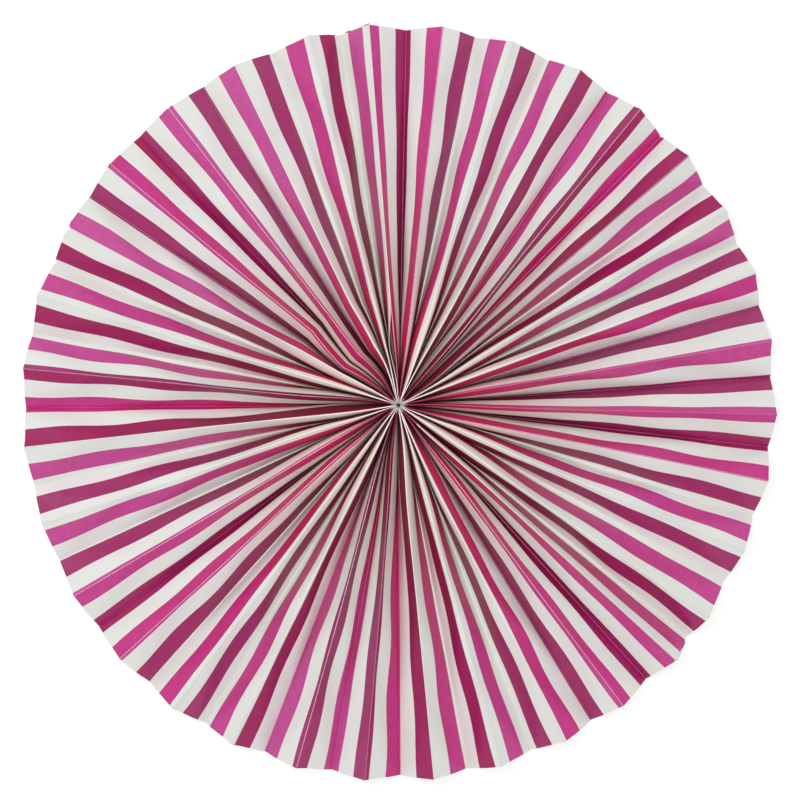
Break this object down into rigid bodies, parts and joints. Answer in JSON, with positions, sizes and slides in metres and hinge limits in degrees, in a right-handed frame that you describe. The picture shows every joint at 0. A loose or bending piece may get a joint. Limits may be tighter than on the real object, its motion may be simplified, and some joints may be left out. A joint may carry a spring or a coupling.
{
  "type": "paper fan rosette",
  "caption": "Round flat rosette of striped paper strips, fan-folded into radial pleats, lapped at glued seams and gathered on a glued hub; a wall or party decoration.",
  "frame": {"origin": "on the hub axis, in the plane of the back folds on which the rosette lies", "axes": "+Z out of the printed face, +Y towards the top of the picture, +X to the right of it"},
  "size_m": [0.3998, 0.4001, 0.0251],
  "materials": {
    "printed_paper": "satin printed face with stripes, plain white back",
    "dried_glue": "dull, slightly waxy"
  },
  "bodies": {
    "root": {"long_sheet": "printed_paper", "short_sheet": "printed_paper", "centre_glue": "dried_glue"}
  },
  "joints": []
}
